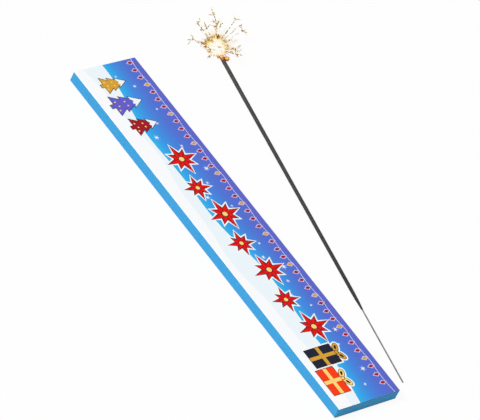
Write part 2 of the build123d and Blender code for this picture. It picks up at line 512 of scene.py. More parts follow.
along_front = np.linspace(0, LENGTH, DRIFT_POINTS)
far_top = drift_top(along_front, *FAR_DRIFT)
ink("sky", oblong((0, FRONT_LOW), (LENGTH, FRONT_HIGH)))
ink("drift_line", band(along_front, FRONT_LOW, far_top + DRIFT_LINE))
ink("far_drift", band(along_front, FRONT_LOW, far_top))
ink("near_drift", band(along_front, FRONT_LOW, drift_top(along_front, *NEAR_DRIFT)))

# %% Snow crystals
GOLDEN = 0.618034
CRYSTAL_COUNT = 26
CRYSTAL_MARGIN = 6.0
CRYSTAL_CLEAR = 3.0
CRYSTAL_TOP = 38.5
CRYSTAL_LOW = 1.3
CRYSTAL_SPREAD = 1.5
CRYSTAL_STEP = 0.37
CRYSTAL_ARMS = 6
# Long points and short ones between them: the tip and the notch in shares of the size, and the turn.
CRYSTAL_STARS = ((1.0, 0.16, 0.0), (0.55, 0.15, math.pi / CRYSTAL_ARMS))


def uneven(numbers, step=GOLDEN):
    """An uneven share from 0 to 1 for each number: what is left of it times a step, past whole ones."""
    return (numbers * step) % 1


def crystal(centre, size, turn):
    """Six thin points with six short ones between them."""
    for tip, notch, more in CRYSTAL_STARS:
        ink("snow", star(centre, np.tile((tip * size, notch * size), CRYSTAL_ARMS), turn + more))


for number in range(CRYSTAL_COUNT):
    share = uneven(number)
    spot_along = CRYSTAL_MARGIN + (LENGTH - 2 * CRYSTAL_MARGIN) * (number + 0.5) / CRYSTAL_COUNT
    low_sky = drift_top(spot_along, *FAR_DRIFT) + CRYSTAL_CLEAR
    spot_up = low_sky + (CRYSTAL_TOP - low_sky) * share
    crystal((spot_along, spot_up), CRYSTAL_LOW + CRYSTAL_SPREAD * uneven(number, CRYSTAL_STEP), share)

# %% Garland along the upper edge
GARLAND_STEP = 6.5
GARLAND_DIP = 1.1
GARLAND_WAVE = 26.0
GARLAND_HIGH = 45.2
STRING_POINTS = 133
STRING_THICK = 0.3
PENDANT_HANG = 2.3
PENDANT_RADII = (1.25, 2.1, 1.25, 2.1)
PENDANT_BORDER = (("halo_rose", 0.5),)
PENDANT_COLOURS = ("dark_red", "dark_red", "dark_red", "gold")


def garland_height(along):
    """A string that hangs in even arcs: a height less a dip times the size of a sine."""
    return GARLAND_HIGH - GARLAND_DIP * np.abs(np.sin(np.pi * along / GARLAND_WAVE))


along_string = np.linspace(0, LENGTH, STRING_POINTS)
string = garland_height(along_string)
ink("snow", band(along_string, string - STRING_THICK, string))
for number in range(int(LENGTH / GARLAND_STEP)):
    spot_along = GARLAND_STEP * (number + 0.5)
    pendant = star((spot_along, garland_height(spot_along) - PENDANT_HANG), PENDANT_RADII)
    bordered([pendant], PENDANT_BORDER)
    ink(PENDANT_COLOURS[number % len(PENDANT_COLOURS)], pendant)

# %% Row of red star bursts
BURST_COUNT = 7
BURST_FIRST = 84.0
BURST_STEP = 23.6
BURST_HIGH = 23.5
BURST_SWING = 2.2
BURST_TILT = 0.12
BURST_SIZES = (12.0, 9.6)
BURST_RADII = np.tile((1.0, 0.36, 0.7, 0.36), 4)
BURST_BORDER = (("halo", 1.5), ("outline", 0.55))
BURST_EYE = (("outline", 0.2), ("pale_gold", 0.15))


def burst(centre, size, turn):
    """Eight points, long and short by turns, in two reds like folded paper, with an outline and a halo."""
    outline = star(centre, size * BURST_RADII, turn)
    bordered([outline], BURST_BORDER)
    ink("red", outline)
    for corner in range(0, len(outline), 2):
        ink("deep_red", (centre, outline[corner - 1], outline[corner]))
    for colour, share in BURST_EYE:
        ink(colour, disc(centre, share * size))


for number in range(BURST_COUNT):
    side = (-1) ** number
    centre = (BURST_FIRST + BURST_STEP * number, BURST_HIGH + BURST_SWING * side)
    burst(centre, BURST_SIZES[number % 2], QUARTER + BURST_TILT * side)

# %% Firs at the far end
FIR_HALF = np.array((
    (0.09, 0.0), (0.09, 0.12), (0.5, 0.12), (0.24, 0.4), (0.4, 0.4), (0.18, 0.67), (0.29, 0.67), (0.0, 1.0),
))
FIR_SNOW = np.array((
    (0.29, 0.67), (0.14, 0.74), (0.06, 0.68), (-0.04, 0.75), (-0.14, 0.69), (-0.29, 0.67), (0.0, 1.0),
))
FIR_LIGHTS = np.array(((-0.18, 0.2), (0.06, 0.24), (0.26, 0.18), (-0.1, 0.48), (0.12, 0.5)))
FIR_BORDER = (("outline", 0.4),)
LIGHT_RADIUS = 0.6
LIGHT_CORNERS = 10
FIRS = (
    ((16.0, 10.5), (13.0, 19.0), "gold"),
    ((33.0, 6.5), (16.0, 24.0), "violet"),
    ((52.0, 9.0), (14.0, 20.0), "dark_red"),
)


def fir(foot, size, colour):
    """A fir in three tiers with snow on its top and lights in its branches, from its width and height."""
    left_half = FIR_HALF[-2::-1] * (-1, 1)
    outline = np.concatenate((FIR_HALF, left_half)) * size + foot
    bordered([outline], FIR_BORDER)
    ink(colour, outline)
    for light in FIR_LIGHTS * size + foot:
        ink("pale_gold", disc(light, LIGHT_RADIUS, LIGHT_CORNERS))
    ink("far_drift", FIR_SNOW * size + foot)


for foot, size, colour in FIRS:
    fir(foot, size, colour)

# %% Parcels at the near end
RIBBON_HALF = 1.3
KNOT_RISE = 1.2
KNOT_RADIUS = 1.1
KNOT_OUTLINE = 1.5
KNOT_CORNERS = 14
BOW_TURN = 0.5
# Of a bow's loops and the holes in them: the place beside the knot, half the size, and the corners.
BOW_LOOP = ((3.2, 1.4), (3.4, 1.8), OVAL_CORNERS)
BOW_HOLE = ((3.5, 1.5), (1.7, 0.8), 12)
PARCEL_BORDER = (("halo", 1.3), ("outline", 0.4))
PARCELS = (
    ((240.0, 6.5), (254.0, 26.0), "night", "gold"),
    ((255.5, 4.0), (275.0, 17.0), "orange_red", "pale_gold"),
)


def bow(knot, place, halves, count):
    """Two ovals, one on each side of a knot, turned like wings."""
    return [oval(knot + np.array((side, 1)) * place, halves, side * BOW_TURN, count) for side in (-1, 1)]


def parcel(low, high, colour, ribbon):
    """A box with a ribbon both ways and a bow of two loops."""
    body = oblong(low, high)
    middle = body.mean(axis=0)
    knot = np.array((middle[0], high[1] + KNOT_RISE))
    loops = bow(knot, *BOW_LOOP)
    bordered([body, *loops], PARCEL_BORDER)
    ink(colour, body)
    ink(ribbon, oblong((middle[0] - RIBBON_HALF, low[1]), (middle[0] + RIBBON_HALF, high[1])))
    ink(ribbon, oblong((low[0], middle[1] - RIBBON_HALF), (high[0], middle[1] + RIBBON_HALF)))
    for loop, hole in zip(loops, bow(knot, *BOW_HOLE)):
        ink(ribbon, loop)
        ink("outline", hole)
    ink("outline", disc(knot, KNOT_OUTLINE, KNOT_CORNERS))
    ink(ribbon, disc(knot, KNOT_RADIUS, KNOT_CORNERS))


for low, high, colour, ribbon in PARCELS:
    parcel(low, high, colour, ribbon)
print(len(motifs), "printed shapes")

# %% [markdown]
# The triangulation takes all outlines at once and cuts them where they cross. It also says in which
# outlines each triangle lies, and the last one printed is on top. A loose grid of points is added so that
# the sky can change colour smoothly and the front can swell.

# %% Inks
INKS = {
    "far_drift": srgb(238, 248, 253),
    "near_drift": srgb(252, 253, 255),
    "drift_line": srgb(60, 140, 205),
    "snow": srgb(244, 249, 255),
    "halo": srgb(250, 250, 252),
    "halo_rose": srgb(206, 196, 236),
    "outline": srgb(34, 10, 16),
    "red": srgb(238, 4, 4),
    "deep_red": srgb(196, 0, 6),
    "dark_red": srgb(160, 8, 30),
    "gold": srgb(214, 160, 52),
    "pale_gold": srgb(252, 216, 122),
    "violet": srgb(98, 92, 200),
    "orange_red": srgb(250, 58, 6),
    "night": srgb(18, 22, 44),
    "side_blue": srgb(58, 153, 207),
    "end_blue": srgb(28, 150, 203),
    "cut_edge": srgb(96, 160, 200),
}
SKY_PLACES = (0.0, 0.07, 0.3, 0.6, 0.95)
SKY_SCREEN = ((43, 187, 238), (46, 170, 235), (63, 138, 223), (80, 112, 210), (94, 100, 198))
SKY_COLOURS = np.array([srgb(*screen) for screen in SKY_SCREEN])


def sky_colour(along, up):
    """Cyan at the drift to violet at the upper edge, by the share of the way up."""
    ground = drift_top(along, *FAR_DRIFT)
    share = np.clip((up - ground) / (WIDTH - ground), 0, 1)
    return np.stack([np.interp(share, SKY_PLACES, channel) for channel in SKY_COLOURS.T], axis=-1)


# %% Triangulate the printed sheet
CREASE_ROWS = 3
GRID_ALONG = 56
GRID_UP = 11
JOIN = 1e-4
INSIDE_ONLY = 1


def crossings(first, second):
    """Every number of one row with every number of another, as points."""
    return np.stack(np.meshgrid(first, second, indexing="ij"), axis=-1).reshape(-1, 2)


def triangulate():
    """Points and triangles of the flat sheet, and the name of the ink on each triangle.

    The sheet lies under all motifs. What the walls leave out at their ends is laid over them and taken away.
    """
    shapes = [("side_blue", oblong((0, 0), (LENGTH, GIRTH)))]
    shapes += [(name, outline + (0.0, front_start - CREASE)) for name, outline in motifs]
    for low, high in ((0, NOTCH), (LENGTH - NOTCH, LENGTH)):
        for wall in (RIGHT_WALL, LEFT_WALL):
            shapes.append(("cut_away", oblong((low, run_starts[wall]), (high, run_ends[wall]))))
    steps = np.linspace(0, 1, CREASE_ROWS + 2)
    rows = np.unique(run_starts[creased, None] + runs[creased, None] * steps)
    crease_ends = crossings(rows, (0.0, LENGTH))[:, ::-1]
    grid_up = front_start + front_run * np.linspace(0, 1, GRID_UP)
    grid = crossings(np.linspace(0, LENGTH, GRID_ALONG), grid_up)
    offsets = np.cumsum([0] + [len(outline) for _, outline in shapes])
    loops = [list(range(*ends)) for ends in zip(offsets[:-1], offsets[1:])]
    creases = offsets[-1] + np.arange(len(crease_ends)).reshape(-1, 2)
    flat = np.concatenate([outline for _, outline in shapes] + [crease_ends, grid])
    corner_points = [Vector(point) for point in flat.tolist()]
    points, _, triangles, _, _, sources = delaunay_2d_cdt(
        corner_points, creases.tolist(), loops, INSIDE_ONLY, JOIN,
    )
    names = np.array([shapes[max(source)][0] for source in sources])
    kept = names != "cut_away"
    return np.array([tuple(point) for point in points]), np.array(triangles)[kept], names[kept]


flat_points, flat_triangles, flat_inks = triangulate()
print(f"{len(flat_points)} points and {len(flat_triangles)} triangles on the sheet")

# %% [markdown]
# Printed card has a smooth coated face, and grey board shows inside. Handling wears the print off along
# the creases, so the material fades to bare board there, by a noise, in a strip less than a millimetre
# wide. The ink itself comes with the corners of the mesh.

# %% Board
BOARD_LIGHT = srgb(188, 185, 178)
BOARD_DARK = srgb(148, 143, 134)
BOARD_ROUGH = 0.85
BOARD_SHINE = 0.2
FIBRE_GRAIN = (900.0, 4.0, 0.6)
SPECK_GRAIN = (2600.0, 1.0, 0.5)
SPECK_SPAN = (0.62, 0.72)
SPECK_SHARE = (0.0, 0.5)
TOOTH_GRAIN = (1800.0, 3.0, 0.6)
# A bump is its strength and its depth.
BOARD_BUMP = (0.35, 0.05 * MM)


def board_colour(card):
    """Grey-white recycled board: soft clouds of fibre and fine darker specks."""
    cloudy = card.mixed(card.noise(FIBRE_GRAIN), BOARD_LIGHT, BOARD_DARK)
    specks = card.ranged(card.noise(SPECK_GRAIN), SPECK_SPAN, SPECK_SHARE)
    return card.mixed(specks, cloudy, BOARD_DARK)


def board_material():
    """Bare board, as inside the carton."""
    card = Finish("bare_board", Roughness=BOARD_ROUGH, Specular_IOR_Level=BOARD_SHINE)
    card.paint(Base_Color=board_colour(card))
    card.bump(card.noise(TOOTH_GRAIN), *BOARD_BUMP)
    return card.material


bare_board = board_material()

# %% Print
PRINT_SHINE = 0.08
PRINT_ROUGH = (0.38, 0.5)
SHEEN_GRAIN = (300.0, 3.0, 0.5)
MOTTLE_GRAIN = (900.0, 4.0, 0.5)
MOTTLE_SHARE = (0.0, 0.015)
WEAR_STRIP = 0.45 * MM
WEAR_GRAIN = (650.0, 5.0, 0.7)
WEAR_SPAN = (0.42, 0.68)
WEAR_SHARE = (0.0, 0.55)
PRINT_BUMP = (0.35, 0.02 * MM)


def mottled(card, ink_colour):
    """Ink that lets a trace of the board through, by a noise."""
    return card.mixed(card.ranged(card.noise(MOTTLE_GRAIN), MOST, MOTTLE_SHARE), ink_colour, BOARD_LIGHT)


def crease_wear(card):
    """Most on the long creases of the carton, falling to 0 a short way from them, broken up by a noise."""
    half_wide, half_deep = WIDTH * MM / 2, DEPTH * MM / 2
    level = card.maths("SUBTRACT", card.axis("Z"), half_deep)
    worn = card.ranged(card.noise(WEAR_GRAIN), WEAR_SPAN, WEAR_SHARE)
    for offset, half in ((card.axis("X"), half_wide), (level, half_deep)):
        reach = card.maths("ABSOLUTE", offset)
        near = card.ranged(reach, (half - WEAR_STRIP, half), kind="SMOOTHSTEP")
        worn = card.maths("MULTIPLY", worn, near)
    return worn


def print_material():
    """Coated printed card: the ink that each corner of the mesh carries, mottled and worn."""
    card = Finish("printed_face", Specular_IOR_Level=PRINT_SHINE)
    inked = mottled(card, card.carried("ink", "Color"))
    card.paint(Base_Color=card.mixed(crease_wear(card), inked, BOARD_LIGHT))
    card.paint(Roughness=card.ranged(card.noise(SHEEN_GRAIN), MOST, PRINT_ROUGH))
    card.bump(card.noise(TOOTH_GRAIN), *PRINT_BUMP)
    return card.material


printed_face = print_material()

# %% [markdown]
# The flat sheet is folded twice: once for the print, and once a card's thickness further in for the bare
# inside. A rim of quads along the cut edges closes the two into one sheet, and takes a tint of the print.
# Each corner gets the normal of its panel, so flat panels stay flat in the light and creases look round.

# %% Fold the sheet into the carton


def boundary_edges(triangles):
    """Directed edges that only one triangle has: the outline of the sheet."""
    edges = np.concatenate([triangles[:, (a, b)] for a, b in ((0, 1), (1, 2), (2, 0))])
    keys = np.sort(edges, axis=1)
    _, where, count = np.unique(keys, axis=0, return_inverse=True, return_counts=True)
    return edges[count[where.ravel()] == 1]


def make_carton():
    """The printed skin, its bare inside at the depth of the card, and a rim along every cut edge."""
    count = len(flat_points)
    outer, out = folded(flat_points, 0.0)
    inner, _ = folded(flat_points, CARD)
    points = np.concatenate((outer, inner))
    turned_over = flat_triangles[:, ::-1]
    rim = boundary_edges(flat_triangles)
    rim_quads = np.concatenate((rim[:, ::-1], rim + count), axis=1)
    groups = (flat_triangles, turned_over + count, rim_quads)
    mesh = make_skin("carton_sleeve", points, groups, printed_face, bare_board)
    # Print outside and on the rim, bare board inside.
    mesh.polygons.foreach_set("material_index", np.repeat((0, 1, 0), [len(group) for group in groups]))
    skies = sky_colour(flat_points[:, 0], flat_points[:, 1] - front_start + CREASE)[flat_triangles]
    plain = np.array([INKS.get(name, BOARD_LIGHT) for name in flat_inks])
    inked = np.where((flat_inks == "sky")[:, None, None], skies, plain[:, None, :])
    bare = np.tile(BOARD_LIGHT, (turned_over.size, 1))
    cut = np.tile(INKS["cut_edge"], (rim_quads.size, 1))
    corner_inks = np.concatenate((inked.reshape(-1, 4), bare, cut))
    mesh.color_attributes.new("ink", "FLOAT_COLOR", "CORNER")
    mesh.color_attributes["ink"].data.foreach_set("color", corner_inks.astype(np.float32).ravel())
    first, second, third, _ = points[rim_quads].transpose(1, 0, 2)
    rim_normals = np.repeat(unit(np.cross(second - first, third - second)), 4, axis=0)
    panel_normals = (out[flat_triangles].reshape(-1, 3), -out[turned_over].reshape(-1, 3))
    mesh.normals_split_custom_set(np.concatenate((*panel_normals, rim_normals)).tolist())
    hang(mesh, "carton", "printed_card", "front_panel", "back_panel", "left_panel", "right_panel")


make_carton()

# %% [markdown]
# The lids, tabs and dust flaps keep their CAD solids, because each moves or shows by itself. They were
# printed on one side of the same sheet, so blue lies on the outer face and on the fold that it runs over,
# and the board is bare behind it.

# %% Flaps, lids and tabs
HAIR = 0.02 * MM
FLAP_BUMP = (0.35, 0.03 * MM)
FLAP_ROUGH = (BOARD_ROUGH, 0.42)


def dress(word, finish):
    """Give a material to every CAD node whose name holds a word."""
    dressed = [part for name, part in frame["nodes"].items() if word in name]
    for part in dressed:
        part.data.materials.clear()
        part.data.materials.append(finish)
    print(f"{finish.name} on {len(dressed)} pieces")


def flap_material(name, **printed_from):
    """Card of a flap: blue print on the faces that lie past a level on an axis, and board elsewhere."""
    card = Finish(name, Specular_IOR_Level=PRINT_SHINE)
    outside = 0.0
    for axis, level in printed_from.items():
        past = card.maths("GREATER_THAN", card.maths("ABSOLUTE", card.axis(axis)), level)
        outside = card.maths("MAXIMUM", past, outside)
    blue = mottled(card, INKS["end_blue"])
    card.paint(Base_Color=card.mixed(outside, board_colour(card), blue))
    card.paint(Roughness=card.ranged(outside, WHOLE, FLAP_ROUGH))
    card.bump(card.noise(TOOTH_GRAIN), *FLAP_BUMP)
    return card.material


lid_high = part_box("lid_far")[1]
tab_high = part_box("tuck_tab_far")[1]
lid_levels = {"X": lid_high.x - HAIR, "Y": carton_high.y - HAIR, "Z": lid_high.z - HAIR}
dress("lid_", flap_material("lid_card", **lid_levels))
dress("dust_flap_", flap_material("dust_flap_card", Y=wall_high.y - HAIR))
dress("tuck_tab_", flap_material("tab_card", Y=tab_high.y - HAIR, Z=tab_high.z - HAIR))
dress("glue_flap", bare_board)

# %% [markdown]
# ## Wires and coats
# A sparkler is a drawn steel wire, dipped several times in a slurry of metal powder and oxidiser. The wire
# is round and smooth as the CAD has it, so it only needs a finish: grey steel with the marks of the die
# drawn out along it.

# %% Steel wire
WIRE_LIGHT = srgb(130, 129, 126)
WIRE_DARK = srgb(94, 93, 90)
WIRE_METAL = 0.9
WIRE_CONTRAST = 0.6
WIRE_ROUGH = (0.35, 0.55)
WIRE_BUMP = (0.3, 0.01 * MM)
DRAW_STRETCH = (1.0, 0.02, 1.0)
DRAW_GRAIN = (2200.0, 3.0, 0.6)
SPOT_GRAIN = (275.0, 4.0, 0.5)
SPOT_SPAN = (0.45, 0.7)


def wire_material():
    """Drawn steel: grey, half bright, with scratches that run along the wire and dull spots."""
    steel = Finish("drawn_steel", Metallic=WIRE_METAL)
    drawn = node(steel.tree, "Mapping", {"Vector": steel.place, "Scale": DRAW_STRETCH}).outputs[0]
    lines = steel.noise(DRAW_GRAIN, drawn)
    spots = steel.ranged(steel.noise(SPOT_GRAIN), SPOT_SPAN)
    shade = steel.maths("MULTIPLY", steel.maths("ADD", lines, spots), WIRE_CONTRAST)
    steel.paint(Base_Color=steel.mixed(shade, WIRE_LIGHT, WIRE_DARK))
    steel.paint(Roughness=steel.ranged(lines, MOST, WIRE_ROUGH))
    steel.bump(lines, *WIRE_BUMP)
    return steel.material


dress("_wire", wire_material())

# %% [markdown]
# The coat dries dark grey and grainy, a little paler towards the head, with flecks of the metal powder in
# it. Grain of this size is finer than any mesh, so noises give its colour, and a bump gives it in the light.

# %% Coat material
COAT_BODY = srgb(60, 62, 59)
COAT_HEAD = srgb(90, 90, 87)
COAT_DARK = srgb(42, 43, 41)
COAT_FLECK = srgb(124, 124, 120)
COAT_SHINE = 0.15
COAT_BUMP = (0.5, 0.06 * MM)
PALER_RUN = (-60.0 * MM, 125.0 * MM)
GRAIN_SCALE = 3400.0
COAT_GRAIN = (GRAIN_SCALE, 3.0, 0.7)
COAT_SPAN = (0.38, 0.6)
PATCH_GRAIN = (GRAIN_SCALE / 18, 3.0, 0.5)
PATCH_SPAN = (0.4, 0.75)
PATCH_SHARE = (0.0, 0.5)
FLECK_GRAIN = (GRAIN_SCALE * 1.7, 0.0, 0.5)
FLECK_SPAN = (0.72, 0.8)
FLECK_ROUGH = (0.9, 0.35)


def coat_material():
    """Dried slurry: dark matt grey, with darker hollows and small bright flecks of metal powder."""
    coat = Finish("dipped_coat", Specular_IOR_Level=COAT_SHINE)
    grain = coat.noise(COAT_GRAIN)
    grey = coat.mixed(coat.ranged(coat.axis("Y"), PALER_RUN), COAT_BODY, COAT_HEAD)
    body = coat.mixed(coat.ranged(grain, COAT_SPAN), COAT_DARK, grey)
    body = coat.mixed(coat.ranged(coat.noise(PATCH_GRAIN), PATCH_SPAN, PATCH_SHARE), body, COAT_DARK)
    fleck = coat.ranged(coat.noise(FLECK_GRAIN), FLECK_SPAN)
    coat.paint(Base_Color=coat.mixed(fleck, body, COAT_FLECK), Metallic=fleck)
    coat.paint(Roughness=coat.ranged(fleck, WHOLE, FLECK_ROUGH))
    coat.bump(grain, *COAT_BUMP)
    return coat.material


dipped_coat = coat_material()

# %% [markdown]
# Slurry runs down a dipped wire and thins out at the lower end, and a round drop dries at the head. A
# profile carried round the wire gives that form, up the outside and back down the bore, and two seeded
# random fields give the lumps and the coarser grains.

# %% Surfaces of revolution
SEED = 11
NEIGHBOURS = ((1, 0), (-1, 0), (1, 1), (-1, 1))
draws = np.random.default_rng(SEED)


def soft_field(rows, columns, passes):
    """A seeded random field on a grid, averaged with its neighbours a few times, from -1 to 1."""
    field = draws.uniform(-1, 1, (rows, columns))
    for _ in range(passes):
        field = sum((np.roll(field, *step) for step in NEIGHBOURS), field) / (len(NEIGHBOURS) + 1)
    return field / np.abs(field).max()


def turned(start, along, stations, radii, sides, closed=True):
    """Carry a profile round an axis: at each station, a ring of points at its radius.

    A closed profile runs up the outside and back down the bore, so its rings close in both ways. A ring's
    radii may differ from side to side. No point goes below the table.
    """
    aside = unit(np.cross(along, UP))
    ring = circle(even_turns(sides)) @ np.stack((aside, np.cross(along, aside)))
    points = start + stations[:, None, None] * along + radii[:, :, None] * ring
    points[:, :, 2] = np.maximum(points[:, :, 2], 0.0)
    return points.reshape(-1, 3) * MM, grid_faces(len(stations), sides, closed)


# %% Coats of the stored sparklers
handle = frame["record"]["mounts"][1]
HANDLE_LENGTH = handle["dims"]["length_mm"]
WIRE_RADIUS = handle["dims"]["r_mm"]
BORE_GAP = 0.01
BORE_RADIUS = WIRE_RADIUS + BORE_GAP
SPARKLER_LENGTH = 280.0
FILM = 0.12
RUNOUT = 16.0
COAT_LOW_RADIUS = 1.15
COAT_RADIUS = 1.3
HEAD_ROUND = 0.9
HEAD_COVER = 0.8
LUMP_PASSES = 14
GRAIN_PASSES = 1
# A coat's mesh is its rows and sides, and the heights of its lumps and grains.
STORED_MESH = (260, 18, 0.03, 0.02)
UP_THE_CARTON = np.array((0.0, 1.0, 0.0))


def coat_radius(station):
    """Outer radius along the coat: a thin film, a belly over the run-out, then a slow swell to the head."""
    knee = (WIRE_RADIUS + FILM + COAT_LOW_RADIUS) / 2 + FILM
    places = (HANDLE_LENGTH, HANDLE_LENGTH + RUNOUT / 2, HANDLE_LENGTH + RUNOUT, SPARKLER_LENGTH)
    return np.interp(station, places, (WIRE_RADIUS + FILM, knee, COAT_LOW_RADIUS, COAT_RADIUS))


def make_coat(cad_node, body, start, along, top, rounded, rows, sides, lump, grain):
    """A dipped coat on its wire, with a bore for the wire, lumps and grain.

    A rounded head falls off from its radius by a quarter circle and covers the end of the wire.
    """
    outside = np.linspace(HANDLE_LENGTH, top, rows)
    radius = coat_radius(outside)
    bore = [(top, BORE_RADIUS), (HANDLE_LENGTH, BORE_RADIUS)]
    if rounded:
        fall = np.clip((outside - (top - HEAD_ROUND)) / HEAD_ROUND, 0, 1)
        radius = radius - HEAD_ROUND * (1 - np.sqrt(1 - fall ** 2))
        wire_end = top - HEAD_COVER
        bore = [(top, 0.0), (wire_end, 0.0), (wire_end, BORE_RADIUS), (HANDLE_LENGTH, BORE_RADIUS)]
    thick = np.clip((radius - WIRE_RADIUS) / (COAT_RADIUS - WIRE_RADIUS), 0, 1)[:, None]
    rough = lump * soft_field(rows, sides, LUMP_PASSES) + grain * soft_field(rows, sides, GRAIN_PASSES)
    bore = np.array(bore)
    stations = np.concatenate((outside, bore[:, 0]))
    radii = np.concatenate((radius[:, None] + thick * rough, np.repeat(bore[:, 1:], sides, axis=1)))
    points, faces = turned(start, along, stations, radii, sides)
    make_piece(f"{cad_node}_dipped", points, [faces], None, dipped_coat, body, "sparkler_coat", cad_node)


for name in sorted(n for n in frame["nodes"] if n.startswith("sparkler_") and n.endswith("_coat")):
    wire_low, wire_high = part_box(name.replace("_coat", "_wire"))
    start = np.array(((wire_low.x + wire_high.x) / 2, wire_low.y, (wire_low.z + wire_high.z) / 2)) / MM
    make_coat(name, "carton", start, UP_THE_CARTON, SPARKLER_LENGTH, True, *STORED_MESH)

# %% [markdown]
# ## The lit sparkler
# It lies on the table beside the carton. Its handle end and direction come from the mount on its bare
# wire. The coat is the same as on the others, with a finer mesh because it is seen from near by, and it
# has burnt back from the head.

# %% Coat of the lit sparkler
BURNT_LENGTH = 12.0
BURN_FRONT = SPARKLER_LENGTH - BURNT_LENGTH
LIT_MESH = (820, 30, 0.05, 0.035)
LIT_ALONG = -np.array(handle["axis"])
LIT_START = np.array(handle["pos_m"]) / MM - LIT_ALONG * HANDLE_LENGTH / 2
LIT_ASIDE = np.cross(LIT_ALONG, UP)
make_coat("lit_coat", "lit_sparkler", LIT_START, LIT_ALONG, BURN_FRONT, False, *LIT_MESH)

# %% [markdown]
# What burns shines by itself. Each point of such a piece carries a number for how much it still burns; on
# the crust, the drop, the thorns and the streaks it also holds painted highlight and shade by the side it
# faces. A ramp of colours turns that number into light, from brown over gold to white, as in hot metal. The
# crust is half cold, so it has a ramp for its own colour and another for its glow.

# %% Glowing materials
BLACK = (0.0, 0.0, 0.0, 1.0)
GLOW_ROUGH = 0.8
FIRE_GRAIN = (900.0, 2.0, 0.5)
SPARK_GRAIN = (1500.0, 2.0, 0.5)
SLAG_GRAIN = (1200.0, 2.0, 0.5)
FIRE_SHIFT = (-0.05, 0.05)
SPARK_SHIFT = (-0.1, 0.1)
FIRE_STOPS = (
    (0.0, 120, 70, 24), (0.18, 176, 104, 30), (0.38, 230, 156, 52),
    (0.55, 252, 220, 128), (0.72, 255, 246, 204), (0.88, 255, 255, 248),
)
SPARK_STOPS = (
    (0.0, 96, 64, 22), (0.25, 146, 104, 38), (0.5, 212, 162, 70),
    (0.78, 252, 228, 160), (1.0, 255, 246, 214),
)
SLAG_STOPS = ((0.0, 128, 52, 8), (0.4, 196, 92, 14), (0.7, 240, 150, 34), (1.0, 255, 208, 100))
CRUST_STOPS = ((0.0, 62, 54, 48), (0.3, 98, 62, 36), (0.65, 190, 148, 106), (1.0, 240, 214, 170))
CRUST_GLOW_STOPS = ((0.55, 0, 0, 0), (1.0, 200, 110, 36))
CRUST_GLOW = 0.9
CRUST_ROUGH = 0.85
CRUST_SHINE = 0.2
CRUST_BUMP = (0.6, 0.1 * MM)
BLISTER_GRAIN = (GRAIN_SCALE / 3, 4.0, 0.65)
BLISTER_SHIFT = (-0.3, 0.3)


def glowing_material(name, stops, grain, shift):
    """Something hot: its own light, by its heat with painted highlight and shade, from 0 to 1, a little
    uneven.
    """
    hot = Finish(name, Roughness=GLOW_ROUGH, Specular_IOR_Level=0.0, Emission_Strength=1.0, Base_Color=BLACK)
    patchy = hot.ranged(hot.noise(grain), MOST, shift)
    level = hot.maths("ADD", hot.carried("burning", "Fac"), patchy)
    hot.paint(Emission_Color=hot.ramp(level, stops))
    return hot.material


def crust_material():
    """Burnt crust: dark blistered oxide that turns to tan ash and begins to glow towards the fire, and a
    painted highlight on top.
    """
    crust = Finish(
        "burnt_crust", Roughness=CRUST_ROUGH, Specular_IOR_Level=CRUST_SHINE, Emission_Strength=CRUST_GLOW,
    )
    blister = crust.noise(BLISTER_GRAIN)
    patchy = crust.ranged(blister, MOST, BLISTER_SHIFT)
    level = crust.maths("ADD", crust.carried("burning", "Fac"), patchy)
    crust.paint(Base_Color=crust.ramp(level, CRUST_STOPS))
    crust.paint(Emission_Color=crust.ramp(level, CRUST_GLOW_STOPS))
    crust.bump(blister, *CRUST_BUMP)
    return crust.material


fire_glow = glowing_material("white_fire", FIRE_STOPS, FIRE_GRAIN, FIRE_SHIFT)
spark_glow = glowing_material("gold_sparks", SPARK_STOPS, SPARK_GRAIN, SPARK_SHIFT)
slag_glow = glowing_material("molten_slag", SLAG_STOPS, SLAG_GRAIN, SPARK_SHIFT)

# %% [markdown]
# Past the burning front only a blistered crust is left on the wire, dark at first and glowing where it
# goes into the fire. It is turned like the coat, with larger lumps.

# %% Burnt crust
# Painted highlight: the crust, the drop, the thorns and the streaks are painted whiter upwards
# on their front left side, toward the camera.
PAINTED_HIGHLIGHT_SIDE = np.array((-0.43, -0.30, 0.85))
CRUST_ROWS = 72
CRUST_SIDES = 30
CRUST_PLACES = (0.0, 3.0, 6.0, BURNT_LENGTH)
CRUST_RADII = (1.15, 1.2, 0.95, 0.75)
CRUST_LUMP = 0.2
CRUST_PASSES = 5
CRUST_GLOW_FROM = -1.5
CRUST_GLOW_RUN = 7.5
CRUST_TOP_HIGHLIGHT = 0.9
CRUST_HIGHLIGHT_FROM = 0.7


def towards_painted_highlight(points, sides):
    """Millimetres from the middle of its ring towards the side painted as a highlight, for each point of a
    turned piece.
    """
    rings = points.reshape(-1, sides, 3)
    return (rings - rings.mean(axis=1, keepdims=True)).reshape(-1, 3) @ PAINTED_HIGHLIGHT_SIDE / MM


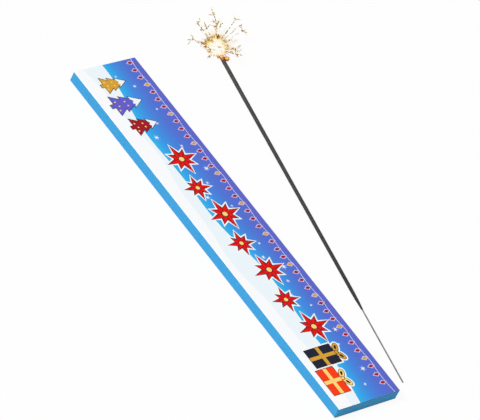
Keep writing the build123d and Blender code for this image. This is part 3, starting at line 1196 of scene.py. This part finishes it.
def make_crust():
    """A lumpy sleeve on the bare wire, thinner towards the tip, that burns more along it, with a painted
    highlight on top.
    """
    outside = np.linspace(0, BURNT_LENGTH, CRUST_ROWS)
    radius = np.interp(outside, CRUST_PLACES, CRUST_RADII)[:, None]
    outer = radius * (1 + CRUST_LUMP * soft_field(CRUST_ROWS, CRUST_SIDES, CRUST_PASSES))
    stations = np.concatenate((outside, outside[[-1, 0]]))
    radii = np.concatenate((outer, np.full((2, CRUST_SIDES), BORE_RADIUS)))
    points, faces = turned(LIT_START, LIT_ALONG, stations + BURN_FRONT, radii, CRUST_SIDES)
    burning = np.repeat((stations - CRUST_GLOW_FROM) / CRUST_GLOW_RUN, CRUST_SIDES)
    # Painted highlight: the top front left of each ring is painted paler, towards tan ash, with a little
    # more glow.
    burning += CRUST_TOP_HIGHLIGHT * (towards_painted_highlight(points, CRUST_SIDES) / CRUST_RADII[0] - CRUST_HIGHLIGHT_FROM)
    place = ("lit_sparkler", "burnt_coat", "burnt_crust")
    make_piece("burnt_crust_blistered", points, [faces], burning, crust_material(), *place)


make_crust()

# %% [markdown]
# A drop of molten slag hangs at the side of the crust. It is a pear: round at its foot, and drawn out to a
# thin tail where it still clings. A radius worked out along its length is carried round that line.

# %% Slag drop
# The foot and the tail, in millimetres along the stick past the burning front and out to its side.
DROP_FOOT = (0.28, 4.12)
DROP_TAIL = (3.6, 0.8)
DROP_RAISE = math.radians(12.0)
DROP_SWELL = 3.0
DROP_ROWS = 36
DROP_SIDES = 28
DROP_CLOSER = 1.5
DROP_LUMP = 0.07
DROP_PASSES = 8
DROP_CONTRAST = 1.7
DROP_SHADE = 0.6


def make_drop():
    """A pear turned about a line from its round foot to its thin tail on the crust.

    Its radius is the swell times (1 - p) times the root of p (2 - p), for p from 0 at the foot to 1 at the
    tail. The rows lie closer together at the foot.
    """
    sideways = LIT_ASIDE * math.cos(DROP_RAISE) + UP * math.sin(DROP_RAISE)
    foot, tail = (
        LIT_START + LIT_ALONG * (BURN_FRONT + along) + sideways * aside
        for along, aside in (DROP_FOOT, DROP_TAIL)
    )
    share = np.linspace(0, 1, DROP_ROWS) ** DROP_CLOSER
    radius = DROP_SWELL * (1 - share) * np.sqrt(share * (2 - share))
    radii = radius[:, None] * (1 + DROP_LUMP * soft_field(DROP_ROWS, DROP_SIDES, DROP_PASSES))
    length = np.linalg.norm(tail - foot)
    points, faces = turned(foot, (tail - foot) / length, share * length, radii, DROP_SIDES, closed=False)
    # Painted highlight and shade: the drop is painted hot on its upper front left side and dark on its far
    # side.
    burning = DROP_CONTRAST * towards_painted_highlight(points, DROP_SIDES) / (DROP_SWELL / 2) - DROP_SHADE
    make_piece("slag_drop", points, [faces], burning, slag_glow, "lit_sparkler", "hot_slag", "slag_bead")


make_drop()

# %% [markdown]
# ## Fire and sparks
# The burning metal makes a white ball of light with a ragged golden rim. Grains of burning iron fly out
# of it in lines that stray and droop a little, and some of them burst into small fans. On the picture each
# track is broken into dashes. So a spark is a thin tube along a path, and its radius and its light rise
# and fall along it by a seeded random row.

# %% Tubes along many paths
SPARK_FLOOR = 0.12
STEEP = 0.9


def tubes(paths, radii, sides):
    """Tubes round many paths at once, closed at both ends.

    At each point of a path, two directions across it carry a ring: the point plus the radius times the
    cosine of one and the sine of the other.
    """
    count, steps = radii.shape
    along = unit(np.gradient(paths, axis=1))
    reference = np.where(np.abs(along[:, :1, 2:]) > STEEP, (1.0, 0.0, 0.0), UP)
    first = unit(np.cross(np.broadcast_to(reference, along.shape), along))
    ring = circle(even_turns(sides)) @ np.stack((first, np.cross(along, first)), axis=2)
    points = paths[:, :, None] + radii[:, :, None, None] * ring
    points[..., 2] = np.maximum(points[..., 2], SPARK_FLOOR)
    starts = np.arange(count)[:, None] * steps * sides
    quads = (grid_faces(steps, sides) + starts[:, :, None]).reshape(-1, 4)
    roots = np.arange(sides) + starts
    tips = roots + (steps - 1) * sides
    return points.reshape(-1, 3) * MM, [quads, np.concatenate((roots[:, ::-1], tips))]


def joined(*groups):
    """Several groups of points, faces and light as one."""
    offsets = np.cumsum([0] + [len(points) for points, _, _ in groups])
    points = np.concatenate([points for points, _, _ in groups])
    faces = [face + offset for (_, sets, _), offset in zip(groups, offsets) for face in sets]
    return points, faces, np.concatenate([light for _, _, light in groups])


# %% Flights of sparks
GOLDEN_ANGLE = math.radians(137.508)
WAVE_TURNS = 1.5
WAVE_SHARE = 0.2
STRAY_SPAN = (0.2, 1.0)


def spread(numbers, total, low, high):
    """Directions spread evenly over a zone of a ball, each turned from the last by the golden angle."""
    rise = low + (high - low) * (numbers + 0.5) / total
    level = np.sqrt(1 - rise ** 2)
    return np.column_stack((level[:, None] * circle(numbers * GOLDEN_ANGLE), rise))


def flights(origins, directions, starts, ends, steps, droop, stray):
    """Paths along each direction from start to end.

    They leave the straight line to a seeded random side with the square of the way, and wave a little about
    it, and they droop with the square of the way too.
    """
    each = (len(directions), 1, 1)
    share = np.linspace(0, 1, steps)[None, :, None]
    reach = np.linspace(starts, ends, steps, axis=1)[:, :, None]
    aside = unit(np.cross(directions, draws.normal(size=directions.shape)))[:, None]
    wave = np.sin(TURN * (WAVE_TURNS * share + draws.uniform(size=each)))
    bend = stray * (share ** 2 + WAVE_SHARE * share * wave) * draws.uniform(*STRAY_SPAN, each)
    paths = np.reshape(origins, (-1, 1, 3)) + directions[:, None] * reach + aside * bend
    return paths - droop * share ** 2 * UP


# %% [markdown]
# The core is a lumpy ball of light. It reaches farther over the table to the front left and both ways along
# the stick, as on the picture, and bristles with thorns that are white at the root and golden at the tip.

# %% White core with its ragged rim
CORE_RADIUS = 5.0
CORE_ROWS = 48
CORE_SIDES = 96
CORE_LUMP = 0.08
CORE_PASSES = 6
CORE_FORWARD = 0.35
CORE_AHEAD = 0.2
FRONT_LEFT = np.array((-0.93, -0.37, 0.0))
WHITE_FROM = 0.6
WHITE_RUN = 0.25
core_centre = LIT_START + LIT_ALONG * SPARKLER_LENGTH


def core_reach(ways):
    """How many times its radius the core reaches: more to the front left, and both ways along the stick."""
    forward = np.clip(ways @ FRONT_LEFT, 0, 1)
    return 1 + CORE_FORWARD * forward ** 2 + CORE_AHEAD * (ways @ LIT_ALONG) ** 2


def painted_whiteness(ways):
    """From 0 to 1, how far each direction lies in the side of the fire that is painted white as a highlight.
    """
    return np.clip((ways @ PAINTED_HIGHLIGHT_SIDE - WHITE_FROM) / WHITE_RUN, 0, 1)


def core_ball():
    """A lumpy ball cut flat by the table: a radius for each tilt from the pole and each turn round it."""
    tilt = np.linspace(0, np.pi, CORE_ROWS)[:, None, None]
    level = np.sin(tilt) * circle(even_turns(CORE_SIDES))
    ways = np.concatenate((level, np.broadcast_to(-np.cos(tilt), (CORE_ROWS, CORE_SIDES, 1))), axis=-1)
    radius = CORE_RADIUS * (1 + CORE_LUMP * soft_field(CORE_ROWS, CORE_SIDES, CORE_PASSES))
    radius *= core_reach(ways)
    radius[[0, -1]] = CORE_RADIUS
    points = (core_centre + ways * radius[:, :, None]).reshape(-1, 3)
    points[:, 2] = np.maximum(points[:, 2], SPARK_FLOOR)
    return points * MM, [grid_faces(CORE_ROWS, CORE_SIDES)], np.ones(len(points))


# %% Thorns of the core
NEEDLES = 260
NEEDLE_STEPS = 9
NEEDLE_SIDES = 5
NEEDLE_ZONE = (-0.1, 0.98)
NEEDLE_FLATTEN = (1.0, 1.0, 0.75)
NEEDLE_JITTER = (0.1, 0.1, 0.05)
NEEDLE_SINK = 0.7
NEEDLE_SHORT = 0.7
NEEDLE_SPREAD = 3.4
NEEDLE_SHORTER = 1.6
NEEDLE_DROOP = 0.1
NEEDLE_STRAY = 0.8
NEEDLE_ROOT = 0.3
NEEDLE_TAPER = (1.0, 0.1)
NEEDLE_STOUT_STEP = 0.77
NEEDLE_COOLING = 1.9
RIM_NEEDLES = 80
RIM_HALF = math.radians(115.0)
RIM_RISE = 0.06


def core_needles():
    """Short crooked needles all over the ball, like thorns, and a close row low on its front left."""
    numbers = np.arange(NEEDLES + RIM_NEEDLES)
    all_round = spread(numbers[:NEEDLES], NEEDLES, *NEEDLE_ZONE) * NEEDLE_FLATTEN
    turns = np.linspace(-RIM_HALF, RIM_HALF, RIM_NEEDLES)
    rim = circle(turns) @ np.stack((FRONT_LEFT, np.cross(UP, FRONT_LEFT))) + RIM_RISE * UP
    ways = unit(np.concatenate((all_round, rim)))
    ways = unit(ways + draws.normal(size=ways.shape) * NEEDLE_JITTER)
    surface = CORE_RADIUS * core_reach(ways)
    starts = surface - NEEDLE_SINK
    ends = surface + NEEDLE_SHORT + NEEDLE_SPREAD * uneven(numbers) ** NEEDLE_SHORTER
    paths = flights(core_centre, ways, starts, ends, NEEDLE_STEPS, NEEDLE_DROOP, NEEDLE_STRAY)
    stout = NEEDLE_ROOT * (1 + uneven(numbers, NEEDLE_STOUT_STEP))[:, None]
    points, faces = tubes(paths, stout * np.linspace(*NEEDLE_TAPER, NEEDLE_STEPS), NEEDLE_SIDES)
    out = np.maximum(np.linspace(starts - surface, ends - surface, NEEDLE_STEPS, axis=1), 0)
    # Painted highlight: thorns on the side painted white stay white all along; the others cool to gold at
    # the tip.
    light = 1 - (1 - painted_whiteness(ways))[:, None] * np.minimum(out / NEEDLE_COOLING, 1)
    return points, faces, np.repeat(light.ravel(), NEEDLE_SIDES)


core = joined(core_ball(), core_needles())
make_piece("fire_core_burning", *core, fire_glow, "lit_sparkler", "fire", "fire_core")

# %% [markdown]
# The streaks fly on the directions of the CAD streaks. Where one would lie over the stick it is turned
# aside, because the picture shows the stick clear. A haze of short pale sparks fills the room between
# them near the core.

# %% Broken tracks
LINK_RADIUS = 0.12
DASH_RADIUS = 0.22
DASH_PASSES = 6
DASH_FROM = 0.475
DASH_RUN = 0.13
DASH_DARK = (0.55, 0.95)
SLOW_STEPS = 14
SLOW_SWING = 0.125
STREAK_SIDES = 6
STREAK_TAPER = (1.15, 0.6)
STREAK_STOUT = (0.6, 1.3)
LINK_LIGHT = 0.95
WHITE_FADE = (-0.3, 2.0)


def dashes(count, steps):
    """Broken tracks: for each one a random row, smoothed, and cut sharply into 1 on a dash and 0 off it.

    A second, slower row makes some stretches nearly whole and leaves others out. Each pass of the
    smoothing weighs a step and its neighbours as 2 to 1.
    """
    row = draws.uniform(size=(count, steps))
    slow = draws.uniform(-SLOW_SWING, SLOW_SWING, (count, steps // SLOW_STEPS + 1))
    row += np.repeat(slow, SLOW_STEPS, axis=1)[:, :steps]
    for _ in range(DASH_PASSES):
        row = (np.roll(row, 1, axis=1) + 2 * row + np.roll(row, -1, axis=1)) / 4
    on_dash = np.clip((row - DASH_FROM) / DASH_RUN, 0, 1)
    return on_dash * on_dash * (3 - 2 * on_dash)


def track(paths, dash, size, white=0.0):
    """Tubes on paths that swell on their dashes, and how brightly each of their points burns.

    On the side of the fire that is painted white as a highlight, they are painted white where they start.
    """
    taper = np.linspace(*STREAK_TAPER, dash.shape[1])
    stout = draws.uniform(*STREAK_STOUT, (len(dash), 1)) * size
    points, faces = tubes(paths, (LINK_RADIUS + DASH_RADIUS * dash) * taper * stout, STREAK_SIDES)
    dark = dash * draws.uniform(*DASH_DARK, (len(dash), 1))
    # Painted highlight: on the side painted white, the dashes near the start stay white.
    late = np.clip(np.linspace(*WHITE_FADE, dash.shape[1]), 0, 1)
    light = LINK_LIGHT - dark * (1 - np.reshape(white, (-1, 1)) * (1 - late))
    return points, faces, np.repeat(light.ravel(), STREAK_SIDES)


# %% Streaks and haze
SPARKS = 72
STREAK_EVERY = 3
SPARK_LOW = math.sin(math.radians(3.5))
SPARK_HIGH = math.sin(math.radians(76.0))
STREAK_FROM = CORE_RADIUS - 0.3
STREAK_SHORT = 11.0
STREAK_LONG = 23.5
STREAK_STEPS = 120
STREAK_DROOP = 0.8
STREAK_STRAY = 3.0
STICK_CLEAR = 0.8
STICK_TURN = 0.8
HAZE_STREAKS = 180
HAZE_HIGH = 0.97
HAZE_JITTER = 0.12
HAZE_SHORT = CORE_RADIUS + 1.5
HAZE_SPREAD = 9.0
HAZE_STEP = 0.53
HAZE_SHORTER = 1.5
HAZE_DROOP = 0.2
HAZE_STRAY = 1.2
HAZE_RADII = (0.132, 0.055)
HAZE_LIGHT = (0.9, 0.55)


def lay_streaks():
    """Directions and paths of the long sparks, every third of the CAD sparks."""
    numbers = np.arange(0, SPARKS, STREAK_EVERY)
    ways = spread(numbers, SPARKS, SPARK_LOW, SPARK_HIGH)
    over_stick = ways @ -LIT_ALONG > STICK_CLEAR
    ways = unit(ways + STICK_TURN * LIT_ASIDE * over_stick[:, None])
    ends = STREAK_SHORT + (STREAK_LONG - STREAK_SHORT) * uneven(numbers)
    return ways, flights(core_centre, ways, STREAK_FROM, ends, STREAK_STEPS, STREAK_DROOP, STREAK_STRAY)


def haze():
    """Short pale sparks in all directions, thin and whole, that fade on their way."""
    numbers = np.arange(HAZE_STREAKS)
    ways = spread(numbers, HAZE_STREAKS, SPARK_LOW, HAZE_HIGH)
    ways = unit(ways + draws.normal(0, HAZE_JITTER, ways.shape))
    ends = HAZE_SHORT + HAZE_SPREAD * uneven(numbers, HAZE_STEP) ** HAZE_SHORTER
    paths = flights(core_centre, ways, STREAK_FROM, ends, NEEDLE_STEPS, HAZE_DROOP, HAZE_STRAY)
    radii = np.tile(np.linspace(*HAZE_RADII, NEEDLE_STEPS), (HAZE_STREAKS, 1))
    light = np.tile(np.linspace(*HAZE_LIGHT, NEEDLE_STEPS), HAZE_STREAKS)
    return (*tubes(paths, radii, NEEDLE_SIDES), np.repeat(light, NEEDLE_SIDES))


streak_ways, streak_paths = lay_streaks()
pale_sparks = haze()
streaks = track(streak_paths, dashes(len(streak_paths), STREAK_STEPS), 1.0, painted_whiteness(streak_ways))
flying = joined(streaks, pale_sparks)
make_piece("spark_streaks_flying", *flying, spark_glow, "lit_sparkler", "sparks", "spark_streaks")

# %% [markdown]
# A grain of iron bursts when its shell gives way, and throws a small fan of sparks forward. Such a fan
# stands at the end of every second streak, and smaller forks leave the others on their way.

# %% Star bursts
STAR_RAYS = 8
FORK_RAYS = 4
FORK_STEP = STREAK_STEPS * 2 // 3
FORK_SIZE = 0.7
STAR_STEPS = 32
STAR_OPEN = (0.25, 1.35)
STAR_LENGTH = (1.4, 5.8)
STAR_FROM = -0.1
STAR_DROOP = 0.2
STAR_STRAY = 0.7
STAR_THICK = 0.9


def fans(paths, step, rays, size):
    """From one step of each path, rays that open forward by seeded random angles and lengths."""
    tips = np.repeat(paths[:, step], rays, axis=0)
    forward = np.repeat(unit(paths[:, step] - paths[:, step - 2]), rays, axis=0)
    side = unit(np.cross(forward, draws.normal(size=forward.shape)))
    opening = draws.uniform(*STAR_OPEN, (len(tips), 1))
    ways = forward * np.cos(opening) + side * np.sin(opening)
    ends = draws.uniform(*STAR_LENGTH, len(tips)) * size
    ray_paths = flights(tips, ways, STAR_FROM, ends, STAR_STEPS, STAR_DROOP, STAR_STRAY)
    return track(ray_paths, dashes(len(tips), STAR_STEPS), STAR_THICK)


ended = fans(streak_paths[1::2], STREAK_STEPS - 1, STAR_RAYS, 1.0)
forked = fans(streak_paths[0::2], FORK_STEP, FORK_RAYS, FORK_SIZE)
bursting = joined(ended, forked)
make_piece("spark_stars_flying", *bursting, spark_glow, "lit_sparkler", "sparks", "spark_stars")
